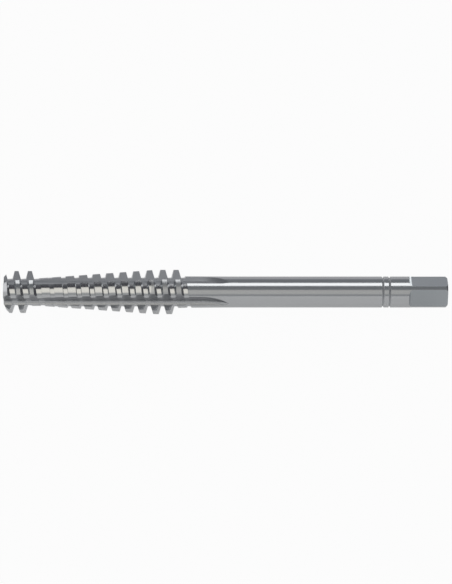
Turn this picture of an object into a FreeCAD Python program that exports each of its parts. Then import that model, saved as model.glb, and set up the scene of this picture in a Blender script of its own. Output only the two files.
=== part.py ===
import FreeCAD, Part
import math
import os
from FreeCAD import Vector

# One-piece tap for a 10 x 3 trapezoidal thread, all sizes in millimetres and degrees.
# The axis is X. The drive end is at the origin, and the nose points to -X.
# It lies as it comes to rest, on the edges of two lands, with one flute straight down.

# Whole tool
OVERALL_LENGTH = 100.0
SHANK_DIAMETER = 7.0

# Cutting thread, right-hand, with a long lead taper and then full turns
PITCH = 3.0
THREAD_DIAMETER = 10.0
ROOT_DIAMETER = 6.5
FLANK_ANGLE = 15.0
CREST_WIDTH = 1.098
THREAD_TURNS = 13
TAPER_LENGTH = 25.7

# Guide thread at the nose, thinner, which enters the thread that was cut before
GUIDE_DIAMETER = 9.5
GUIDE_ROOT_DIAMETER = 6.0
GUIDE_CREST_WIDTH = 0.88
GUIDE_TURNS = 2
NOSE_DIAMETER = 7.0
NOSE_ANGLE = 45.0
NECK_DIAMETER = 6.3
NECK_WIDTH = 0.4

# First ridge, measured from the nose plane on the second land
FIRST_RIDGE = 0.435

# Where a thread ends, the wheel that grinds off the next ridge is a little under one pitch wide.
# At the shank it leaves a shallow cone
END_WHEEL_SHARE = 0.96
THREAD_END_DIAMETER = 7.1
THREAD_END_ANGLE = 2.0

# Flutes, ground with one side of the wheel along the rake face
FLUTE_COUNT = 4
LAND_ANGLE = 39.4
RAKE_ANGLE = 3.0
HEEL_ANGLE = 52.4
FLUTE_BOTTOM_RADIUS = 0.55
FLUTE_LENGTH = 44.8
WHEEL_RADIUS = 17.5
WHEEL_LIFT_ANGLE = 35.0
# From where the wheel lifts off to the shank's true cylinder. A slight cone lies between that and the thread
RUNOUT_LENGTH = 6.2

# Driving square
SQUARE_SIDES = 4
SQUARE_WIDTH = 5.5
SQUARE_LENGTH = 8.0
SQUARE_RUNOUT_RADIUS = 0.75
END_CHAMFER = 0.4

# Rings turned in the shank, which mark the second tap of a set
RING_COUNT = 2
RING_WIDTH = 0.5
RING_DEPTH = 0.35
RING_SPACING = 1.5
RING_TO_SQUARE = 5.1

# Grinding centres in both ends
CENTRE_DIAMETER = 2.0
CENTRE_ANGLE = 60.0
DRILL_DIAMETER = 0.8
DRILL_DEPTH = 2.4

# How far a cutting tool reaches past the metal that it cuts
REACH = 1.0

ORIGIN = Vector(0, 0, 0)
AXIS = Vector(1, 0, 0)
FULL_TURN = 360.0
FLUTE_STEP = FULL_TURN / FLUTE_COUNT
SECOND_LAND = 1.5 * FLUTE_STEP
NOSE_X = -OVERALL_LENGTH
GUIDE_END = NOSE_X + FIRST_RIDGE + PITCH * (GUIDE_TURNS + 0.5)
THREAD_END = NOSE_X + FIRST_RIDGE + PITCH * (THREAD_TURNS + 0.5)
SHANK_START = NOSE_X + FLUTE_LENGTH + RUNOUT_LENGTH
SHANK_RADIUS = SHANK_DIAMETER / 2
THREAD_RADIUS = THREAD_DIAMETER / 2


def tangent(angle):
    return math.tan(math.radians(angle))


def turned(profile):
    """A solid turned about the axis, from a closed outline of (x, radius) points."""
    points = [Vector(x, 0, radius) for x, radius in profile]
    return Part.Face(Part.makePolygon(points + points[:1])).revolve(ORIGIN, AXIS, FULL_TURN)


def ridge_x(turn):
    """Place of the ridge on the axis, at an angle counted round all the turns of the thread."""
    return NOSE_X + FIRST_RIDGE + PITCH * (turn - SECOND_LAND) / FULL_TURN


def wound(section, start, end, offset):
    """A solid wound with the thread, from a section of (axial place, radius) points."""
    cone_angle = 0
    spine = Part.makeLongHelix(PITCH, PITCH * (end - start) / FULL_TURN, section[0][1], cone_angle)
    points = [Vector(radius, 0, along) for along, radius in section]
    pipe = Part.BRepOffsetAPI.MakePipeShell(spine)
    pipe.setBiNormalMode(Vector(0, 0, 1))
    pipe.add(Part.makePolygon(points + points[:1]))
    pipe.build()
    pipe.makeSolid()
    solid = Part.Solid(pipe.shape())
    solid.rotate(ORIGIN, Vector(0, 0, 1), start)
    # A third of a turn about the diagonal takes Z to X, X to Y and Y to Z
    solid.rotate(ORIGIN, Vector(1, 1, 1), FULL_TURN / 3)
    solid.translate(Vector(ridge_x(start) + offset, 0, 0))
    return solid


def groove(outer_diameter, root_diameter, crest_width, start, end):
    """The space between two turns of ridge, down to the root."""
    root = root_diameter / 2
    outer = outer_diameter / 2

    def half_width(radius):
        return (PITCH - crest_width) / 2 + (radius - outer) * tangent(FLANK_ANGLE)

    low = root - REACH
    top = outer + REACH
    section = [(-half_width(low), low), (half_width(low), low)]
    section += [(half_width(top), top), (-half_width(top), top)]
    core = turned([(NOSE_X - PITCH, 0), (NOSE_X - PITCH, root), (0, root), (0, 0)])
    return wound(section, start, end, PITCH / 2).cut(core)


def flute_turn(turns, flutes):
    """Angle at the middle of a flute, a number of turns and flutes after the first ridge."""
    return FULL_TURN * turns + SECOND_LAND + FLUTE_STEP * (flutes - 0.5)


def ridge_end(turns, floor_diameter, floor_angle, outer_diameter):
    """What is ground off behind the last ridge, so that it ends whole, in a flute."""
    start = flute_turn(turns, 1)
    end_x = NOSE_X + FIRST_RIDGE + PITCH * (turns + 0.5)
    floor = floor_diameter / 2
    top = outer_diameter / 2 + REACH
    low = floor - REACH
    high = top + REACH
    width = END_WHEEL_SHARE * PITCH
    band = wound([(0, low), (width, low), (width, high), (0, high)], start, start + FULL_TURN, -PITCH / 2)
    start_x = end_x - 2 * PITCH
    start_floor = floor + 2 * PITCH * tangent(floor_angle)
    return band.common(turned([(start_x, start_floor), (end_x, floor), (end_x, top), (start_x, top)]))


def blank():
    """The turned bar, with the guide, the neck, the lead taper, the thread and the shank."""
    nose = NOSE_DIAMETER / 2
    guide = GUIDE_DIAMETER / 2
    neck = NECK_DIAMETER / 2
    taper_start = GUIDE_END + NECK_WIDTH
    return turned([
        (NOSE_X, 0),
        (NOSE_X, nose),
        (NOSE_X + (guide - nose) / tangent(NOSE_ANGLE), guide),
        (GUIDE_END, guide),
        (GUIDE_END, neck),
        (taper_start, neck),
        (taper_start + TAPER_LENGTH, THREAD_RADIUS),
        (THREAD_END, THREAD_RADIUS),
        (THREAD_END, THREAD_END_DIAMETER / 2),
        (SHANK_START, SHANK_RADIUS),
        (-END_CHAMFER, SHANK_RADIUS),
        (0, SHANK_RADIUS - END_CHAMFER),
        (0, 0),
    ])


def rings():
    """The marking rings."""
    for number in range(RING_COUNT):
        middle = -SQUARE_LENGTH - RING_TO_SQUARE - RING_SPACING * number
        near = middle - RING_WIDTH / 2
        far = middle + RING_WIDTH / 2
        floor = SHANK_RADIUS - RING_DEPTH
        top = SHANK_RADIUS + REACH
        yield turned([(near, floor), (far, floor), (far, top), (near, top)])


def centre(face_x, inward):
    """A centre hole in an end face, where inward is 1 or -1 along X."""
    mouth = CENTRE_DIAMETER / 2
    drill = DRILL_DIAMETER / 2
    cone = (mouth - drill) / tangent(CENTRE_ANGLE / 2)
    depths = [(-REACH, 0), (-REACH, mouth), (0, mouth), (cone, drill)]
    depths += [(DRILL_DEPTH, drill), (DRILL_DEPTH, 0)]
    return turned([(face_x + inward * depth, radius) for depth, radius in depths])


def flute():
    """The flute that opens to +Y: a straight cut, and the run-out where the wheel lifts off."""
    half_opening = math.radians(FLUTE_STEP - LAND_ANGLE) / 2
    rake = half_opening - math.radians(RAKE_ANGLE)
    heel = math.radians(HEEL_ANGLE)
    rake_edge = Vector(0, math.cos(half_opening), math.sin(half_opening)) * THREAD_RADIUS
    heel_edge = Vector(0, math.cos(half_opening), -math.sin(half_opening)) * THREAD_RADIUS
    rake_way = Vector(0, math.cos(rake), math.sin(rake))
    heel_way = Vector(0, math.cos(heel), -math.sin(heel))

    # The two faces meet at a corner, which the rim of the wheel rounds
    depth = (heel_edge - rake_edge).cross(heel_way).x / rake_way.cross(heel_way).x
    corner = rake_edge + rake_way * depth
    half_corner = (rake + heel) / 2
    from_corner = FLUTE_BOTTOM_RADIUS / math.tan(half_corner)
    to_arc = FLUTE_BOTTOM_RADIUS / math.sin(half_corner) - FLUTE_BOTTOM_RADIUS
    rake_start = corner + rake_way * from_corner
    heel_start = corner + heel_way * from_corner
    arc_middle = corner + (rake_way + heel_way).normalize() * to_arc
    rake_end = corner + rake_way * THREAD_DIAMETER
    heel_end = corner + heel_way * THREAD_DIAMETER
    section = Part.Face(Part.Wire([
        Part.makeLine(rake_end, rake_start),
        Part.Arc(rake_start, arc_middle, heel_start).toShape(),
        Part.makeLine(heel_start, heel_end),
        Part.makeLine(heel_end, rake_end),
    ]))

    section.translate(AXIS * (NOSE_X - REACH))
    straight = section.extrude(AXIS * (FLUTE_LENGTH + REACH))
    section.translate(AXIS * (FLUTE_LENGTH + REACH))

    # The wheel turns on an axle square to the rake face
    axle = AXIS.cross(rake_way)
    rim = rake_start - (axle + rake_way) * FLUTE_BOTTOM_RADIUS
    wheel_centre = rim + rake_way * WHEEL_RADIUS + AXIS * (NOSE_X + FLUTE_LENGTH)
    return straight.fuse(section.revolve(wheel_centre, axle, WHEEL_LIFT_ANGLE))


def square_flat():
    """The cut that leaves the upper flat of the driving square, with its rounded run-out."""
    flat = SQUARE_WIDTH / 2
    radius = SQUARE_RUNOUT_RADIUS
    top = SHANK_RADIUS + REACH
    diagonal = radius * math.sqrt(0.5)
    outline = [
        Vector(-SQUARE_LENGTH - radius, -SHANK_DIAMETER, flat + radius),
        Vector(-SQUARE_LENGTH - radius, -SHANK_DIAMETER, top),
        Vector(REACH, -SHANK_DIAMETER, top),
        Vector(REACH, -SHANK_DIAMETER, flat),
        Vector(-SQUARE_LENGTH, -SHANK_DIAMETER, flat),
    ]
    arc_middle = Vector(-SQUARE_LENGTH - diagonal, -SHANK_DIAMETER, flat + radius - diagonal)
    edges = [Part.makeLine(start, end) for start, end in zip(outline, outline[1:])]
    edges.append(Part.Arc(outline[-1], arc_middle, outline[0]).toShape())
    return Part.Face(Part.Wire(edges)).extrude(Vector(0, 2 * SHANK_DIAMETER, 0))


def copies_round(shape, count):
    """The shape repeated evenly about the axis."""
    for number in range(count):
        copy = shape.copy()
        copy.rotate(ORIGIN, AXIS, FULL_TURN * number / count)
        yield copy


def thread_tap():
    """The whole tool, cut from one bar."""
    guide_turn = flute_turn(GUIDE_TURNS, 2)
    last_turn = flute_turn(THREAD_TURNS, 2)
    cuts = [
        ridge_end(GUIDE_TURNS, NECK_DIAMETER, 0, GUIDE_DIAMETER),
        ridge_end(THREAD_TURNS, THREAD_END_DIAMETER, THREAD_END_ANGLE, THREAD_DIAMETER),
        groove(GUIDE_DIAMETER, GUIDE_ROOT_DIAMETER, GUIDE_CREST_WIDTH, -FULL_TURN, guide_turn),
        groove(THREAD_DIAMETER, ROOT_DIAMETER, CREST_WIDTH, guide_turn, last_turn),
        centre(NOSE_X, 1),
        centre(0, -1),
    ]
    cuts += list(rings())
    cuts += list(copies_round(flute(), FLUTE_COUNT))
    cuts += list(copies_round(square_flat(), SQUARE_SIDES))
    tap = blank()
    for cut in cuts:
        tap = tap.cut(cut)
    return tap.removeSplitter()


os.makedirs("parts", exist_ok=True)
thread_tap().exportStep("parts/thread_tap.step")
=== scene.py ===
import math

import bmesh
import bpy
from bpy.props import FloatProperty, FloatVectorProperty, IntProperty, PointerProperty
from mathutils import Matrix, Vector


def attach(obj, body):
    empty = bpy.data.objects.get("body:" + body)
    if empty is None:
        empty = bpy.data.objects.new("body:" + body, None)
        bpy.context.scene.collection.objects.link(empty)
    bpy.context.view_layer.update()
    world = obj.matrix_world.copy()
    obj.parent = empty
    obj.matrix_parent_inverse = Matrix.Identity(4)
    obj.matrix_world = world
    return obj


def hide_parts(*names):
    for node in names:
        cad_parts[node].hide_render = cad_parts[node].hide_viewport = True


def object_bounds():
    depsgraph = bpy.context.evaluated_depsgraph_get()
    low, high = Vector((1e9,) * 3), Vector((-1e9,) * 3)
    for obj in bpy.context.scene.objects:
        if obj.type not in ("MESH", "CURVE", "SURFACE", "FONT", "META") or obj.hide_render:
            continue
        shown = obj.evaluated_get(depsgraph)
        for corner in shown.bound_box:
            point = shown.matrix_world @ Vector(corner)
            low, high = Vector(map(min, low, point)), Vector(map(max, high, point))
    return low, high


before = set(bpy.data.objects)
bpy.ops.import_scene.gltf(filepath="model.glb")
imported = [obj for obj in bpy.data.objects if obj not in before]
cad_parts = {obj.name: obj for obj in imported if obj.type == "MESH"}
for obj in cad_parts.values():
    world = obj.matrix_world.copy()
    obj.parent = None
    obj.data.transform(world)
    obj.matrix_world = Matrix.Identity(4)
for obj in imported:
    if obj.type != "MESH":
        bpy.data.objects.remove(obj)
CAD_BOX = [list(corner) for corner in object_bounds()]

bl_info = {
    "name": "Thread Tap",
    "version": (1, 0, 0),
    "blender": (4, 5, 0),
    "location": "View3D > Sidebar > Thread Tap",
    "description": "Models a ground tap for a coarse trapezoidal thread, on a pale studio floor",
    "category": "Mesh",
}

MM = 0.001
ORIGIN = Vector((0, 0, 0))
AXIS = Vector((1, 0, 0))
FULL_TURN = math.tau
QUARTER_TURN = FULL_TURN / 4
TOOL_LENGTH = CAD_BOX[1][0] - CAD_BOX[0][0]

# Angle of the second land, where the first ridge is measured
SECOND_LAND = 1.5 * QUARTER_TURN
# Sides of one turn, for everything that is turned or wound, so that their edges meet
SIDES = 192
# Steps of a flute's round bottom, of the wheel's lift and of the run-outs at the square
BOTTOM_STEPS = 10
LIFT_STEPS = 28
RUNOUT_STEPS = 12
# How far a cutting tool reaches past the metal that it cuts
REACH = 1 * MM
# How far it keeps off a face that it must not touch
HAIR = 0.002 * MM
# How near corners are that count as one, or as on a cutting plane
SAME_CORNER = 0.001 * MM
ON_PLANE = 0.0001 * MM
# Edges that turn further than this stay sharp in the shading
SHARP_EDGE = math.radians(28)
# How far the tap's volume may be off the solid's, as a share of it
VOLUME_SLACK = 0.02


class WholeSizes(bpy.types.PropertyGroup):
    """The bar and its shank."""

    length: FloatProperty(
        name="Length", description="From the nose to the drive end", default=TOOL_LENGTH,
        unit="LENGTH")
    shank_diameter: FloatProperty(
        name="Shank", description="Across the shank", default=7 * MM, unit="LENGTH")
    nose_diameter: FloatProperty(
        name="Nose", description="Across the nose face", default=7 * MM, unit="LENGTH")
    nose_angle: FloatProperty(
        name="Nose angle", description="Slope of the nose chamfer", default=math.radians(45),
        subtype="ANGLE")
    neck_diameter: FloatProperty(
        name="Neck", description="Across the neck behind the guide", default=6.3 * MM,
        unit="LENGTH")
    neck_width: FloatProperty(
        name="Neck width", description="Length of the neck", default=0.4 * MM, unit="LENGTH")
    end_chamfer: FloatProperty(
        name="End chamfer", description="Chamfer of the drive end", default=0.4 * MM, unit="LENGTH")
    thread_end_diameter: FloatProperty(
        name="Thread end",
        description="Across the ground-off end of the thread, where it meets the shank",
        default=7.1 * MM, unit="LENGTH")
    thread_end_angle: FloatProperty(
        name="Thread end angle", description="Slope of the ground-off end of the thread",
        default=math.radians(2), subtype="ANGLE")


class ThreadSizes(bpy.types.PropertyGroup):
    """The cutting thread and the guide thread, which share their pitch."""

    pitch: FloatProperty(
        name="Pitch", description="From one ridge to the next", default=3 * MM, unit="LENGTH")
    first_ridge: FloatProperty(
        name="First ridge", description="From the nose face to the ridge on the second land",
        default=0.435 * MM, unit="LENGTH")
    flank_angle: FloatProperty(
        name="Flank angle", description="Slope of each flank", default=math.radians(15),
        subtype="ANGLE")
    diameter: FloatProperty(
        name="Crests", description="Across the crests", default=10 * MM, unit="LENGTH")
    root_diameter: FloatProperty(
        name="Roots", description="Across the roots", default=6.5 * MM, unit="LENGTH")
    crest_width: FloatProperty(
        name="Crest width", description="Width of a full crest", default=1.098 * MM, unit="LENGTH")
    turns: IntProperty(
        name="Turns", description="Ridges from the nose to the shank", default=13)
    taper_length: FloatProperty(
        name="Lead taper", description="Length over which the ridges grow", default=25.7 * MM,
        unit="LENGTH")
    guide_diameter: FloatProperty(
        name="Guide crests", description="Across the guide's crests", default=9.5 * MM,
        unit="LENGTH")
    guide_root_diameter: FloatProperty(
        name="Guide roots", description="Across the guide's roots", default=6 * MM, unit="LENGTH")
    guide_crest_width: FloatProperty(
        name="Guide crest width", description="Width of a guide crest", default=0.88 * MM,
        unit="LENGTH")
    guide_turns: IntProperty(
        name="Guide turns", description="Ridges on the guide", default=2)
    root_lean: FloatProperty(
        name="Root lean", description="Slope of the roots, which are lower on their nose side",
        default=math.radians(4.5), subtype="ANGLE")
    end_wheel_share: FloatProperty(
        name="End wheel",
        description="Width of the wheel that grinds off the next ridge, as a share of the pitch",
        default=0.96)


class FluteSizes(bpy.types.PropertyGroup):
    """The four flutes."""

    count: IntProperty(
        name="Flutes", description="Number of flutes", default=4)
    land_angle: FloatProperty(
        name="Land", description="Angle that a land covers", default=math.radians(39.4),
        subtype="ANGLE")
    rake_angle: FloatProperty(
        name="Rake", description="Rake of the cutting face", default=math.radians(3),
        subtype="ANGLE")
    heel_angle: FloatProperty(
        name="Heel", description="Slope of the heel face", default=math.radians(52.4),
        subtype="ANGLE")
    bottom_radius: FloatProperty(
        name="Bottom", description="Radius of the wheel's rim", default=0.55 * MM, unit="LENGTH")
    length: FloatProperty(
        name="Length", description="From the nose to where the wheel lifts", default=44.8 * MM,
        unit="LENGTH")
    wheel_radius: FloatProperty(
        name="Wheel", description="Radius of the grinding wheel", default=17.5 * MM, unit="LENGTH")
    lift_angle: FloatProperty(
        name="Lift", description="Turn about the wheel's axle that clears the shank",
        default=math.radians(35), subtype="ANGLE")
    runout_length: FloatProperty(
        name="Run-out", description="From where the wheel lifts to the shank's true cylinder",
        default=6.2 * MM, unit="LENGTH")


class DriveSizes(bpy.types.PropertyGroup):
    """The driving square, the marking rings and the grinding centres."""

    square_width: FloatProperty(
        name="Square", description="Across two flats", default=5.5 * MM, unit="LENGTH")
    square_length: FloatProperty(
        name="Square length", description="Length of the flats", default=8 * MM, unit="LENGTH")
    runout_radius: FloatProperty(
        name="Run-out", description="Radius at the end of each flat", default=0.75 * MM,
        unit="LENGTH")
    ring_count: IntProperty(
        name="Rings", description="Number of marking rings", default=2)
    ring_width: FloatProperty(
        name="Ring width", description="Width of a ring", default=0.5 * MM, unit="LENGTH")
    ring_depth: FloatProperty(
        name="Ring depth", description="Depth of a ring", default=0.35 * MM, unit="LENGTH")
    ring_spacing: FloatProperty(
        name="Ring spacing", description="From one ring to the next", default=1.5 * MM,
        unit="LENGTH")
    ring_to_square: FloatProperty(
        name="Rings to square", description="From the square to the first ring", default=5.1 * MM,
        unit="LENGTH")
    centre_diameter: FloatProperty(
        name="Centre", description="Across the mouth of a grinding centre", default=2 * MM,
        unit="LENGTH")
    centre_angle: FloatProperty(
        name="Centre angle", description="Included angle of a centre", default=math.radians(60),
        subtype="ANGLE")
    drill_diameter: FloatProperty(
        name="Pilot", description="Across the pilot hole of a centre", default=0.8 * MM,
        unit="LENGTH")
    drill_depth: FloatProperty(
        name="Pilot depth", description="Depth of a centre", default=2.4 * MM, unit="LENGTH")


class SteelLook(bpy.types.PropertyGroup):
    """Colours and polish of the ground steel, with painted shade on the heel faces."""

    round_color: FloatVectorProperty(
        name="Round", description="Steel that was ground while it turned",
        default=(0.64, 0.65, 0.66), subtype="COLOR")
    round_roughness: FloatProperty(
        name="Round roughness", description="Roughness of the ground round", default=0.16)
    # The heel faces are darker than the rake faces to paint the shade that falls on them; only
    # their higher roughness is coarser grinding
    heel_shade_color: FloatVectorProperty(
        name="Heel faces", description="Steel behind the lands, ground coarse",
        default=(0.44, 0.45, 0.47), subtype="COLOR")
    heel_roughness: FloatProperty(
        name="Heel roughness", description="Roughness of the heel faces", default=0.35)
    rake_color: FloatVectorProperty(
        name="Rake faces", description="Steel on the cutting side of the flutes",
        default=(0.60, 0.61, 0.62), subtype="COLOR")
    rake_roughness: FloatProperty(
        name="Rake roughness", description="Roughness of the rake faces", default=0.27)
    flat_color: FloatVectorProperty(
        name="Square", description="Steel on the square's flats", default=(0.49, 0.52, 0.54),
        subtype="COLOR")
    flat_roughness: FloatProperty(
        name="Square roughness", description="Roughness of the square's flats", default=0.32)
    ring_color: FloatVectorProperty(
        name="Rings", description="Steel in the marking rings, which were turned and not ground",
        default=(0.75, 0.76, 0.77), subtype="COLOR")
    ring_roughness: FloatProperty(
        name="Ring roughness", description="Roughness of the marking rings", default=0.45)
    full_crest_roughness: FloatProperty(
        name="Full crests",
        description="What is added to the roughness on the crests of the full thread", default=0.12)
    rake_hook_radius: FloatProperty(
        name="Rake hook",
        description="Radius inside which the rake faces turn in towards the bottom of the flute",
        default=3.45 * MM, unit="LENGTH")
    rake_hook: FloatProperty(
        name="Rake hook slope", description="How far they turn in", default=math.radians(31),
        subtype="ANGLE")
    heel_hook_radius: FloatProperty(
        name="Heel hook", description="Radius inside which the heel faces turn in",
        default=2.85 * MM, unit="LENGTH")
    heel_hook: FloatProperty(
        name="Heel hook slope", description="How far they turn in", default=math.radians(28),
        subtype="ANGLE")
    relief: FloatProperty(
        name="Relief", description="How far the crests fall away behind the cutting edge",
        default=math.radians(4.5), subtype="ANGLE")
    line_spacing: FloatProperty(
        name="Line spacing", description="From one grinding line to the next", default=0.1 * MM,
        unit="LENGTH")
    line_height: FloatProperty(
        name="Line height", description="Height of the grinding lines", default=0.0004 * MM,
        unit="LENGTH")
    unevenness: FloatProperty(
        name="Unevenness", description="How much the polish changes from place to place",
        default=0.04)


class StudioLook(bpy.types.PropertyGroup):
    """Floor, light and camera."""

    floor_size: FloatProperty(
        name="Floor", description="Side of the square floor", default=8, unit="LENGTH")
    lamp_level: FloatProperty(
        name="Lamp", description="Brightness of the overhead panel, where 1 is white", default=1.25)
    camera_elevation: FloatProperty(
        name="Camera elevation", description="Angle at which the camera looks down",
        default=math.radians(30.7), subtype="ANGLE")
    camera_distance: FloatProperty(
        name="Camera distance", description="From the camera to the tool", default=0.6,
        unit="LENGTH")


def deselect_all():
    bpy.ops.object.select_all(action="DESELECT")


def start_at(name, point):
    """A new object with a single corner, open in edit mode to be drawn out."""
    deselect_all()
    bpy.ops.mesh.primitive_plane_add(size=MM, location=point)
    bpy.ops.object.transform_apply()
    piece = bpy.context.active_object
    piece.name = name
    bpy.ops.object.mode_set(mode="EDIT")
    bpy.ops.mesh.select_mode(type="VERT")
    bpy.ops.mesh.select_all(action="SELECT")
    bpy.ops.mesh.merge(type="CENTER")
    return piece


def draw_face(name, corners):
    """A flat face, drawn from corner to corner and left selected in edit mode."""
    piece = start_at(name, corners[0])
    for here, there in zip(corners, corners[1:]):
        bpy.ops.mesh.extrude_region_move(TRANSFORM_OT_translate={"value": there - here})
    bpy.ops.mesh.select_all(action="SELECT")
    bpy.ops.mesh.edge_face_add()
    return piece


def close_and_leave():
    """Closes what is still open, points the faces outwards and leaves edit mode."""
    bpy.ops.mesh.select_all(action="SELECT")
    bpy.ops.mesh.fill_holes(sides=0)
    bpy.ops.mesh.select_all(action="SELECT")
    bpy.ops.mesh.normals_make_consistent(inside=False)
    bpy.ops.object.mode_set(mode="OBJECT")


def turned(name, outline):
    """A closed shape turned about the axis: a disc that is drawn out and resized step by step."""
    deselect_all()
    start_x, start_radius = outline[0]
    bpy.ops.mesh.primitive_circle_add(
        vertices=SIDES, radius=start_radius, fill_type="NGON",
        location=(start_x, 0, 0), rotation=(0, QUARTER_TURN, 0))
    bpy.ops.object.transform_apply()
    piece = bpy.context.active_object
    piece.name = name
    bpy.ops.object.mode_set(mode="EDIT")
    bpy.ops.mesh.select_mode(type="FACE")
    bpy.ops.mesh.select_all(action="SELECT")
    for (here_x, here_radius), (there_x, there_radius) in zip(outline, outline[1:]):
        bpy.ops.mesh.extrude_region_move(
            TRANSFORM_OT_translate={"value": (there_x - here_x, 0, 0)})
        change = there_radius / here_radius
        bpy.ops.transform.resize(value=(1, change, change), center_override=(there_x, 0, 0))
    close_and_leave()
    return piece


def wound(name, section, sizes, start, end, offset):
    """A closed shape wound with the thread, from a section of (along, radius) corners."""
    half_side = FULL_TURN / SIDES / 2
    start += half_side
    end += half_side
    outward = Vector((0, math.cos(start), math.sin(start)))
    start_x = ridge_x(sizes, start) + offset
    corners = [AXIS * (start_x + along) + outward * radius for along, radius in section]
    piece = draw_face(name, corners)
    bpy.ops.mesh.delete(type="ONLY_FACE")
    bpy.ops.object.mode_set(mode="OBJECT")
    screw = piece.modifiers.new("wind", "SCREW")
    screw.axis = "X"
    screw.angle = end - start
    screw.screw_offset = sizes.pitch * (end - start) / FULL_TURN
    screw.steps = screw.render_steps = round(SIDES * (end - start) / FULL_TURN)
    bpy.ops.object.modifier_apply(modifier=screw.name)
    bpy.ops.object.mode_set(mode="EDIT")
    close_and_leave()
    return piece


def cut(piece, cutter):
    """Takes the cutter's space out of the piece, and its finish goes to the new faces."""
    deselect_all()
    piece.select_set(True)
    bpy.context.view_layer.objects.active = piece
    boolean = piece.modifiers.new("cut", "BOOLEAN")
    boolean.operation = "DIFFERENCE"
    boolean.solver = "MANIFOLD"
    boolean.material_mode = "TRANSFER"
    boolean.object = cutter
    bpy.ops.object.modifier_apply(modifier=boolean.name)
    bpy.data.objects.remove(cutter)


def nose_x():
    """Place of the nose along the axis."""
    return -bpy.context.scene.tap_whole.length


def ridge_x(sizes, turn):
    """Place of the ridge along the axis, at an angle counted round all the turns of the thread."""
    return nose_x() + sizes.first_ridge + sizes.pitch * (turn - SECOND_LAND) / FULL_TURN


def last_ridge_end(sizes, turns):
    """Where a thread ends along the axis: half a pitch past its last ridge."""
    return nose_x() + sizes.first_ridge + sizes.pitch * (turns + 0.5)


def flute_turn(turns, flutes):
    """Angle at the middle of a flute, a number of turns and flutes after the first ridge."""
    return FULL_TURN * turns + SECOND_LAND + QUARTER_TURN * (flutes - 0.5)


def blank_outline(whole, thread, flute, drive):
    """The bar's outline, from the bottom of one grinding centre round to that of the other."""
    tip = nose_x()
    nose = whole.nose_diameter / 2
    guide = thread.guide_diameter / 2
    neck = whole.neck_diameter / 2
    crest = thread.diameter / 2
    shank = whole.shank_diameter / 2
    mouth = drive.centre_diameter / 2
    pilot = drive.drill_diameter / 2
    cone = (mouth - pilot) / math.tan(drive.centre_angle / 2)
    guide_end = last_ridge_end(thread, thread.guide_turns)
    thread_end = last_ridge_end(thread, thread.turns)
    outline = [
        (tip + drive.drill_depth, pilot),
        (tip + cone, pilot),
        (tip, mouth),
        (tip, nose),
        (tip + (guide - nose) / math.tan(whole.nose_angle), guide),
        (guide_end, guide),
        (guide_end, neck),
        (guide_end + whole.neck_width, neck),
        (guide_end + whole.neck_width + thread.taper_length, crest),
        (thread_end, crest),
        (thread_end, whole.thread_end_diameter / 2),
        (tip + flute.length + flute.runout_length, shank),
    ]
    for number in reversed(range(drive.ring_count)):
        middle = -drive.square_length - drive.ring_to_square - drive.ring_spacing * number
        far = middle - drive.ring_width / 2
        near = middle + drive.ring_width / 2
        floor = shank - drive.ring_depth
        outline += [(far, shank), (middle, floor), (near, shank)]
    outline += [
        (-whole.end_chamfer, shank),
        (0, shank - whole.end_chamfer),
        (0, mouth),
        (-cone, pilot),
        (-drive.drill_depth, pilot),
    ]
    return outline


def groove(name, sizes, outer_diameter, root_diameter, crest_width, start, end):
    """The space between two turns of ridge, down to the root."""
    root = root_diameter / 2
    outer = outer_diameter / 2
    slope = math.tan(sizes.flank_angle)
    floor_half = (sizes.pitch - crest_width) / 2 - (outer - root) * slope
    top = outer + REACH
    top_half = floor_half + (top - root) * slope
    lean = floor_half * math.tan(sizes.root_lean)
    section = [
        (-floor_half, root - lean), (floor_half, root + lean), (top_half, top), (-top_half, top)]
    return wound(name, section, sizes, start, end, sizes.pitch / 2)


def ridge_end(name, sizes, turns, floor_diameter, floor_angle, outer_diameter):
    """What is ground off behind the last ridge, so that it ends whole, in a flute."""
    start = flute_turn(turns, 1)
    end_x = last_ridge_end(sizes, turns)
    floor = floor_diameter / 2 + HAIR
    low = floor - REACH
    top = outer_diameter / 2 + REACH
    width = sizes.end_wheel_share * sizes.pitch
    section = [(0, low), (width, low), (width, top), (0, top)]
    band = wound(name, section, sizes, start, start + FULL_TURN, -sizes.pitch / 2)
    bpy.ops.object.mode_set(mode="EDIT")
    bpy.ops.mesh.select_all(action="SELECT")
    # It stops a little past the thread's end, over the bar that is already turned down
    stop_x = end_x + 0.2 * MM
    bpy.ops.mesh.bisect(
        plane_co=(stop_x, 0, 0), plane_no=AXIS, use_fill=True, clear_outer=True, threshold=ON_PLANE)
    close_and_leave()
    slope = math.tan(floor_angle)
    reach = 2 * sizes.pitch
    core = [(end_x - reach, floor + reach * slope), (end_x + REACH, floor - REACH * slope)]
    cut(band, turned("core", core))
    return band


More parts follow.
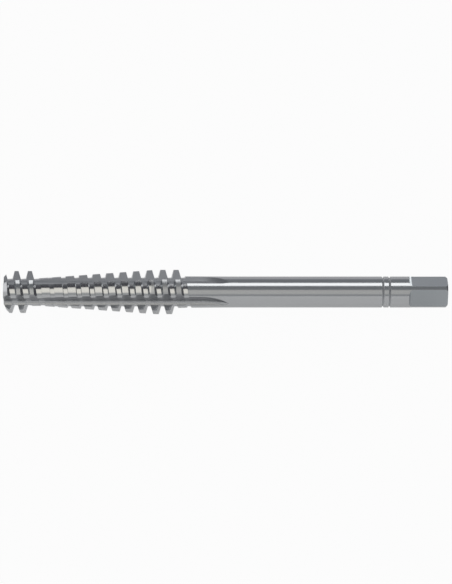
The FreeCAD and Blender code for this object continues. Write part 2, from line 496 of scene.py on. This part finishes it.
def flutes(name, sizes, thread):
    """The cutters of all the flutes: a straight cut, and the run-out where the wheel lifts off."""
    step = FULL_TURN / sizes.count
    crest = thread.diameter / 2
    half_opening = (step - sizes.land_angle) / 2
    rake = half_opening - sizes.rake_angle
    heel = sizes.heel_angle
    rake_edge = Vector((0, math.cos(half_opening), math.sin(half_opening))) * crest
    heel_edge = Vector((0, math.cos(half_opening), -math.sin(half_opening))) * crest
    rake_way = Vector((0, math.cos(rake), math.sin(rake)))
    heel_way = Vector((0, math.cos(heel), -math.sin(heel)))

    # The two faces meet at a corner, which the rim of the wheel rounds
    depth = (heel_edge - rake_edge).cross(heel_way).x / rake_way.cross(heel_way).x
    corner = rake_edge + rake_way * depth
    half_corner = (rake + heel) / 2
    to_centre = sizes.bottom_radius / math.sin(half_corner)
    from_corner = sizes.bottom_radius / math.tan(half_corner)
    rim_centre = corner + (rake_way + heel_way).normalized() * to_centre
    rake_start = corner + rake_way * from_corner
    rake_spoke = (rake_start - rim_centre).normalized()
    heel_spoke = (corner + heel_way * from_corner - rim_centre).normalized()
    spokes = [
        rake_spoke.slerp(heel_spoke, number / BOTTOM_STEPS) for number in range(BOTTOM_STEPS + 1)]
    arc = [rim_centre + spoke * sizes.bottom_radius for spoke in spokes]
    far = 2 * crest
    section = [corner + rake_way * far, *arc, corner + heel_way * far]

    start_x = nose_x() - REACH
    lift_x = nose_x() + sizes.length
    cutter = draw_face(name, [point + AXIS * start_x for point in section])
    bpy.ops.mesh.select_mode(type="FACE")
    bpy.ops.mesh.extrude_region_move(TRANSFORM_OT_translate={"value": AXIS * (lift_x - start_x)})
    axle = AXIS.cross(rake_way)
    rim = rake_start - (axle + rake_way) * sizes.bottom_radius
    wheel_centre = rim + rake_way * sizes.wheel_radius + AXIS * lift_x
    bpy.ops.mesh.spin(
        steps=LIFT_STEPS, angle=-sizes.lift_angle, center=wheel_centre, axis=axle)
    copies_round(sizes.count)
    close_and_leave()
    return cutter


def square_flats(name, sizes, whole):
    """The cutters of the driving square's flats, with their rounded run-outs."""
    flat = sizes.square_width / 2
    radius = sizes.runout_radius
    side = whole.shank_diameter
    top = whole.shank_diameter / 2 + REACH
    turns = [QUARTER_TURN * number / RUNOUT_STEPS for number in range(RUNOUT_STEPS + 1)]
    arc = [
        (-sizes.square_length - radius * math.sin(turn), flat + radius * (1 - math.cos(turn)))
        for turn in turns]
    outline = [(REACH, flat), *arc, (-sizes.square_length - radius, top), (REACH, top)]
    cutter = draw_face(name, [Vector((x, -side, z)) for x, z in outline])
    bpy.ops.mesh.extrude_region_move(TRANSFORM_OT_translate={"value": (0, 2 * side, 0)})
    copies_round(4)
    close_and_leave()
    return cutter


def copies_round(count):
    """Repeats all of the mesh in edit mode evenly about the axis."""
    bpy.ops.mesh.select_all(action="SELECT")
    for number in range(1, count):
        bpy.ops.mesh.duplicate()
        bpy.ops.transform.rotate(value=FULL_TURN / count, orient_axis="X", center_override=ORIGIN)


def volume(piece):
    """The space that a closed piece takes, in cubic metres."""
    mesh = bmesh.new()
    mesh.from_mesh(piece.data)
    space = mesh.calc_volume()
    mesh.free()
    return space


class TAP_OT_ground_tap(bpy.types.Operator):
    """Models the whole tap from one bar and gives it its ground finishes"""

    bl_idname = "tap.ground_tap"
    bl_label = "Ground Tap"

    def execute(self, context):
        scene = context.scene
        whole = scene.tap_whole
        thread = scene.tap_thread
        flute = scene.tap_flutes
        drive = scene.tap_drive
        look = scene.tap_steel
        guide_turn = flute_turn(thread.guide_turns, 2)
        last_turn = flute_turn(thread.turns, 2)
        round_steel = ground_steel(
            "ground_round", look.round_color, look.round_roughness, relief=True)
        root_steel = ground_steel("ground_roots", look.round_color, look.round_roughness)
        ring_steel = ground_steel("turned_rings", look.ring_color, look.ring_roughness)
        rake_steel = ground_steel(
            "ground_rake", look.rake_color, look.rake_roughness, lines="along",
            hook=(look.rake_hook_radius, look.rake_hook))
        # Heel faces: a darker copy of the flute steel, which is painted shade
        shaded_heel_steel = ground_steel(
            "ground_heel_painted_shade", look.heel_shade_color, look.heel_roughness, lines="along",
            hook=(look.heel_hook_radius, look.heel_hook))
        flat_steel = ground_steel("ground_square", look.flat_color, look.flat_roughness)

        tap = turned("ground_tap", blank_outline(whole, thread, flute, drive))
        tap.data.materials.append(round_steel)
        tap.data.materials.append(ring_steel)
        for face in tap.data.polygons:
            face.material_index = int(in_ring(face, whole, drive))
        grooves = [
            ridge_end(
                "guide_end", thread, thread.guide_turns, whole.neck_diameter, 0,
                thread.guide_diameter),
            ridge_end(
                "thread_end", thread, thread.turns, whole.thread_end_diameter,
                whole.thread_end_angle, thread.diameter),
            groove(
                "guide_groove", thread, thread.guide_diameter, thread.guide_root_diameter,
                thread.guide_crest_width, -FULL_TURN, guide_turn),
            groove(
                "groove", thread, thread.diameter, thread.root_diameter, thread.crest_width,
                guide_turn, last_turn),
        ]
        for cutter in grooves:
            cutter.data.materials.append(root_steel)
        wheel = flutes("flutes", flute, thread)
        wheel.data.materials.append(rake_steel)
        wheel.data.materials.append(shaded_heel_steel)
        # Faces that point back round the axis take the heel steel, whose darker colour is painted
        # shade
        for face in wheel.data.polygons:
            face.material_index = int(faces_heel(face))
        square = square_flats("square", drive, whole)
        square.data.materials.append(flat_steel)
        for cutter in grooves + [wheel, square]:
            cut(tap, cutter)
        tidy(tap)

        solid = volume(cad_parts["thread_tap"])
        if abs(volume(tap) / solid - 1) > VOLUME_SLACK:
            raise RuntimeError("A cut has failed: the tap's volume is not that of the solid")
        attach(tap, "root")
        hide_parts("thread_tap")
        return {"FINISHED"}


def in_ring(face, whole, drive):
    """Whether a face of the bar lies in a marking ring."""
    depth = whole.shank_diameter / 2 - Vector((0, face.center.y, face.center.z)).length
    rings_end = drive.square_length + drive.ring_to_square + drive.ring_spacing * drive.ring_count
    beside_square = -rings_end < face.center.x < -drive.square_length
    # A ring's sides are half its depth down at their middle, and the shank's faces hardly at all
    return beside_square and depth > drive.ring_depth / 4


def faces_heel(face):
    """Whether a face of the flutes' cutters leaves a heel face: it points back round the axis."""
    outward = Vector((0, face.center.y, face.center.z))
    return AXIS.cross(outward).dot(face.normal) < 0


def tidy(piece):
    """Merges what the cuts left doubled, and smooths the shading between sharp edges."""
    deselect_all()
    piece.select_set(True)
    bpy.context.view_layer.objects.active = piece
    bpy.ops.object.mode_set(mode="EDIT")
    bpy.ops.mesh.select_mode(type="VERT")
    bpy.ops.mesh.select_all(action="SELECT")
    bpy.ops.mesh.remove_doubles(threshold=SAME_CORNER)
    bpy.ops.mesh.select_all(action="SELECT")
    bpy.ops.mesh.dissolve_degenerate(threshold=SAME_CORNER)
    bpy.ops.mesh.select_all(action="SELECT")
    bpy.ops.mesh.normals_make_consistent(inside=False)
    bpy.ops.object.mode_set(mode="OBJECT")
    bpy.ops.object.shade_smooth_by_angle(angle=SHARP_EDGE)


class Number:
    """A number that changes over a surface. An expression on it adds the Math nodes."""

    def __init__(self, tree, output):
        self.tree = tree
        self.output = output

    def join(self, operation, *values):
        node = self.tree.add("ShaderNodeMath", {"operation": operation}, dict(enumerate(values)))
        return Number(self.tree, node.outputs[0])

    def __add__(self, other):
        return self.join("ADD", self, other)

    def __radd__(self, other):
        return self.join("ADD", other, self)

    def __sub__(self, other):
        return self.join("SUBTRACT", self, other)

    def __rsub__(self, other):
        return self.join("SUBTRACT", other, self)

    def __mul__(self, other):
        return self.join("MULTIPLY", self, other)

    def __rmul__(self, other):
        return self.join("MULTIPLY", other, self)

    def __truediv__(self, other):
        return self.join("DIVIDE", self, other)

    def __rtruediv__(self, other):
        return self.join("DIVIDE", other, self)

    def __pow__(self, other):
        return self.join("POWER", self, other)

    def __rpow__(self, other):
        return self.join("POWER", other, self)


class Tree:
    """Adds nodes to the node tree of a material or of the world."""

    def __init__(self, owner):
        owner.use_nodes = True
        self.nodes = owner.node_tree.nodes
        self.links = owner.node_tree.links
        self.nodes.clear()

    def add(self, kind, settings, inputs):
        """A node of one kind, with its settings and then the values or links of its sockets."""
        node = self.nodes.new(kind)
        for name, value in settings.items():
            if name == "stops":
                ramp = node.color_ramp
                while len(ramp.elements) < len(value):
                    ramp.elements.new(1)
                for element, (place, color) in zip(ramp.elements, value):
                    element.position = place
                    element.color = (*color, 1)
            else:
                setattr(node, name, value)
        for name, value in inputs.items():
            socket = node.inputs[name]
            if isinstance(value, Number):
                self.links.new(value.output, socket)
            elif isinstance(value, bpy.types.NodeSocket):
                self.links.new(value, socket)
            elif socket.type == "RGBA" and len(value) == 3:
                socket.default_value = (*value, 1)
            else:
                socket.default_value = value
        return node


# How much longer than wide a grinding line is
LINE_STRETCH = 80
# Patches of uneven polish to the metre
PATCH_SCALE = 150
# How far under the full crests their own finish reaches
CREST_DEPTH = 0.05 * MM


def ground_steel(name, color, roughness, lines="around", relief=False, hook=None):
    """Bright steel with grinding lines, and perhaps relief on the crests or a hook in a flute."""
    scene = bpy.context.scene
    look = scene.tap_steel
    thread = scene.tap_thread
    material = bpy.data.materials.new(name)
    tree = Tree(material)
    place = tree.add("ShaderNodeTexCoord", {}, {}).outputs["Object"]
    axes = tree.add("ShaderNodeSeparateXYZ", {}, {"Vector": place})
    along, side, up = (Number(tree, axes.outputs[axis]) for axis in "XYZ")
    radius = (side ** 2 + up ** 2) ** 0.5

    # The lines are noise that is drawn out in one direction
    fine = 1 / look.line_spacing
    coarse = fine / LINE_STRETCH
    directions = {
        "around": (along * fine, radius * fine, (side + up) * coarse),
        "along": (along * coarse, side * fine, up * fine),
    }
    spread = tree.add("ShaderNodeCombineXYZ", {}, dict(zip("XYZ", directions[lines])))
    line = Number(tree, tree.add("ShaderNodeTexNoise", {}, {
        "Vector": spread.outputs[0], "Scale": 1, "Detail": 2, "Roughness": 0.6}).outputs["Fac"])
    patch = Number(tree, tree.add("ShaderNodeTexNoise", {}, {
        "Vector": place, "Scale": PATCH_SCALE, "Detail": 3, "Roughness": 0.55}).outputs["Fac"])

    height = line * look.line_height
    if relief:
        # The crests of the tapered and full thread tip about the middle of their land
        turns = up.join("ARCTAN2", up, side) / QUARTER_TURN
        past_middle = (turns - turns.join("FLOOR", turns) - 0.5) * QUARTER_TURN
        neck = scene.tap_whole.neck_diameter / 2
        outside_neck = radius.join("GREATER_THAN", radius, neck + HAIR)
        guide_end = last_ridge_end(thread, thread.guide_turns)
        past_guide = along.join("GREATER_THAN", along, guide_end)
        before_shank = along.join("LESS_THAN", along, last_ridge_end(thread, thread.turns))
        crest = outside_neck * past_guide * before_shank
        height = height - crest * past_middle * radius * math.tan(look.relief)
        full_crest = radius.join("GREATER_THAN", radius, thread.diameter / 2 - CREST_DEPTH)
        roughness = full_crest * look.full_crest_roughness + roughness
    if hook:
        # Near the bottom of the flute the face turns in
        hook_radius, slope = hook
        inside = hook_radius - radius
        height = height + inside.join("MAXIMUM", inside, 0) * math.tan(slope)
    bump = tree.add("ShaderNodeBump", {}, {"Height": height, "Strength": 1, "Distance": 1})
    change = (line + patch - 1) * look.unevenness
    tint = tree.add("ShaderNodeCombineXYZ", {}, {
        axis: (change + 1) * part for axis, part in zip("XYZ", color)})
    steel = tree.add("ShaderNodeBsdfPrincipled", {}, {
        "Base Color": tint.outputs[0], "Metallic": 1, "Roughness": change + roughness,
        "Normal": bump.outputs[0]})
    tree.add("ShaderNodeOutputMaterial", {}, {"Surface": steel.outputs["BSDF"]})
    return material


# Walls are the light that the tool sees round its axis, with 1 for white. Each stop has its angle
# in degrees, from 0 on the camera's side through 90 straight up to 180 on the far side. This is the
# far part, which two of them share.
FAR_WALL = [
    (112, (0.20, 0.21, 0.22)),
    (140, (0.24, 0.25, 0.27)),
    (146, (0.46, 0.46, 0.48)),
    (180, (0.46, 0.46, 0.48)),
]
WALLS = [
    (-180, (0.55, 0.55, 0.55)),
    (-8, (0.41, 0.42, 0.43)),
    (3, (0.31, 0.32, 0.33)),
    (11, (0.31, 0.32, 0.33)),
    (16, (0.51, 0.51, 0.50)),
    (44, (0.51, 0.51, 0.50)),
    (48, (0.20, 0.21, 0.22)),
    *FAR_WALL,
]
# On the nose's side a warm card stands under a dark ceiling
NOSE_WALLS = [
    (-180, (0.55, 0.55, 0.55)),
    (-6, (0.40, 0.41, 0.41)),
    (15, (0.42, 0.43, 0.43)),
    (20, (1.1, 1.06, 0.97)),
    (52, (1.1, 1.06, 0.97)),
    (56, (0.05, 0.05, 0.06)),
    (90, (0.08, 0.08, 0.09)),
    *FAR_WALL,
]
# On the drive end's side the wall behind is bright
DRIVE_WALLS = [
    (-180, (0.55, 0.55, 0.55)),
    (-8, (0.12, 0.12, 0.13)),
    (112, (0.12, 0.12, 0.13)),
    (140, (0.24, 0.25, 0.27)),
    (146, (2, 2, 2)),
    (180, (2, 2, 2)),
]


def plain(color):
    """Walls that give the same light all the way round."""
    return [(-180, color), (180, color)]


# What takes the place of WALLS towards each end, one after another, and between which two slants
# of the light: -1 comes along the axis at the nose, and 1 at the drive end
ZONES = [
    (NOSE_WALLS, (-0.105, -0.125)),
    (plain((0.22, 0.23, 0.24)), (-0.26, -0.34)),
    (plain((0.9, 0.9, 0.92)), (-0.8, -0.88)),
    (DRIVE_WALLS, (0.2, 0.26)),
    (plain((0.12, 0.12, 0.13)), (0.58, 0.64)),
]


def studio_world(scene):
    """A plain studio: a white backdrop for the camera, and walls that light the tool."""
    world = bpy.data.worlds.new("studio")
    scene.world = world
    tree = Tree(world)
    way = tree.add("ShaderNodeTexCoord", {}, {}).outputs["Generated"]
    axes = tree.add("ShaderNodeSeparateXYZ", {}, {"Vector": way})
    along = Number(tree, axes.outputs["X"])
    far = Number(tree, axes.outputs["Y"])
    up = Number(tree, axes.outputs["Z"])
    angle = up.join("ARCTAN2", up, 0 - far) / FULL_TURN + 0.5

    def walls(bands):
        stops = [((degrees + 180) / 360, color) for degrees, color in bands]
        return tree.add("ShaderNodeValToRGB", {"stops": stops}, {"Fac": angle}).outputs["Color"]

    around = walls(WALLS)
    for bands, (start, end) in ZONES:
        share = tree.add("ShaderNodeMapRange", {}, {
            "Value": along, "From Min": start, "From Max": end})
        mix = tree.add("ShaderNodeMixRGB", {}, {0: share.outputs[0], 1: around, 2: walls(bands)})
        around = mix.outputs[0]
    rays = tree.add("ShaderNodeLightPath", {}, {})
    lit = tree.add("ShaderNodeBackground", {}, {"Color": around, "Strength": 1})
    white = tree.add("ShaderNodeBackground", {}, {"Color": (1, 1, 1), "Strength": 1})
    both = tree.add("ShaderNodeMixShader", {}, {
        0: rays.outputs["Is Camera Ray"], 1: lit.outputs[0], 2: white.outputs[0]})
    tree.add("ShaderNodeOutputWorld", {}, {"Surface": both.outputs[0]})


def resting_floor():
    """Height at the origin and slope of the floor, under the lands and the end of the shank."""
    places = [corner.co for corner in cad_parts["thread_tap"].data.vertices]
    shank_end = [place for place in places if place.x > -9 * MM]
    lands = [place for place in places if place.x < -50 * MM]
    foot = min(shank_end, key=lambda place: place.z)
    slope = max((foot.z - place.z) / (foot.x - place.x) for place in lands)
    return foot.z - slope * foot.x, slope


# Share of the paper that glows as plain white to the camera
PAPER_GLOW = 0.96
# The same in the steel, which mostly reflects paper that lies in the tool's own shade
PAPER_GLOW_IN_STEEL = 0.36


def white_paper():
    """Paper that looks white to the camera and in the steel, and still takes a shadow."""
    material = bpy.data.materials.new("white_paper")
    tree = Tree(material)
    rays = tree.add("ShaderNodeLightPath", {}, {})
    to_camera, glossy, through = (
        Number(tree, rays.outputs[kind])
        for kind in ("Is Camera Ray", "Is Glossy Ray", "Is Transmission Ray"))
    share = to_camera * PAPER_GLOW + (glossy + through) * PAPER_GLOW_IN_STEEL
    paper = tree.add("ShaderNodeBsdfDiffuse", {}, {"Color": (0.9, 0.9, 0.9)})
    glow = tree.add("ShaderNodeEmission", {}, {"Color": (1, 1, 1), "Strength": 1})
    both = tree.add("ShaderNodeMixShader", {}, {0: share, 1: paper.outputs[0], 2: glow.outputs[0]})
    tree.add("ShaderNodeOutputMaterial", {}, {"Surface": both.outputs[0]})
    return material


def add_panel(scene, level):
    """A square panel of light, from 13 degrees in front of the tool to 12 behind it."""
    height = 1.0
    near, far = -0.23, 0.21
    left = -0.2
    panel = bpy.data.lights.new("panel", "AREA")
    panel.shape = "RECTANGLE"
    panel.size = panel.size_y = far - near
    panel.energy = level * math.pi * panel.size * panel.size_y
    lamp = bpy.data.objects.new("panel", panel)
    lamp.location = (left + panel.size / 2, (near + far) / 2, height)
    scene.collection.objects.link(lamp)


def add_camera(scene, elevation, distance):
    """The camera, in front of the tool's middle and looking down at it."""
    middle = Vector((-0.04993, 0, 0))
    image_height = 584
    pixels_per_metre = 4430
    view = bpy.data.cameras.new("camera")
    view.lens = pixels_per_metre * distance * view.sensor_width / image_height
    camera = bpy.data.objects.new("camera", view)
    away = Vector((0, -math.cos(elevation), math.sin(elevation)))
    camera.location = middle + away * distance
    camera.rotation_euler = (QUARTER_TURN - elevation, 0, 0)
    scene.collection.objects.link(camera)
    scene.camera = camera


class TAP_OT_studio(bpy.types.Operator):
    """Lays a pale floor under the tap, and sets the light and the camera"""

    bl_idname = "tap.studio"
    bl_label = "Studio"

    def execute(self, context):
        scene = context.scene
        look = scene.tap_studio
        height, slope = resting_floor()
        deselect_all()
        bpy.ops.mesh.primitive_plane_add(
            size=look.floor_size, location=(0, 0, height), rotation=(0, -math.atan(slope), 0))
        floor = context.active_object
        floor.name = "paper_floor"
        floor.data.materials.append(white_paper())

        studio_world(scene)
        add_panel(scene, look.lamp_level)
        add_camera(scene, look.camera_elevation, look.camera_distance)
        scene.view_settings.view_transform = "Standard"
        return {"FINISHED"}


class TAP_PT_panel(bpy.types.Panel):
    """The tap and its studio, in the 3D view's sidebar"""

    bl_idname = "TAP_PT_panel"
    bl_label = "Thread Tap"
    bl_space_type = "VIEW_3D"
    bl_region_type = "UI"
    bl_category = "Thread Tap"

    def draw(self, context):
        for group, title, kind in GROUPS:
            box = self.layout.box()
            box.label(text=title)
            for name in kind.__annotations__:
                box.prop(getattr(context.scene, group), name)
        for operator in OPERATORS:
            self.layout.operator(operator.bl_idname)


GROUPS = [
    ("tap_whole", "Bar", WholeSizes),
    ("tap_thread", "Threads", ThreadSizes),
    ("tap_flutes", "Flutes", FluteSizes),
    ("tap_drive", "Drive end", DriveSizes),
    ("tap_steel", "Steel", SteelLook),
    ("tap_studio", "Studio", StudioLook),
]
OPERATORS = [TAP_OT_ground_tap, TAP_OT_studio]
CLASSES = [kind for group, title, kind in GROUPS] + OPERATORS + [TAP_PT_panel]


def register():
    for part in CLASSES:
        bpy.utils.register_class(part)
    for group, title, kind in GROUPS:
        setattr(bpy.types.Scene, group, PointerProperty(type=kind, name=title))


def unregister():
    for group, title, kind in GROUPS:
        delattr(bpy.types.Scene, group)
    for part in reversed(CLASSES):
        bpy.utils.unregister_class(part)


def main():
    register()
    bpy.ops.tap.ground_tap()
    bpy.ops.tap.studio()


if __name__ == "__main__":
    main()
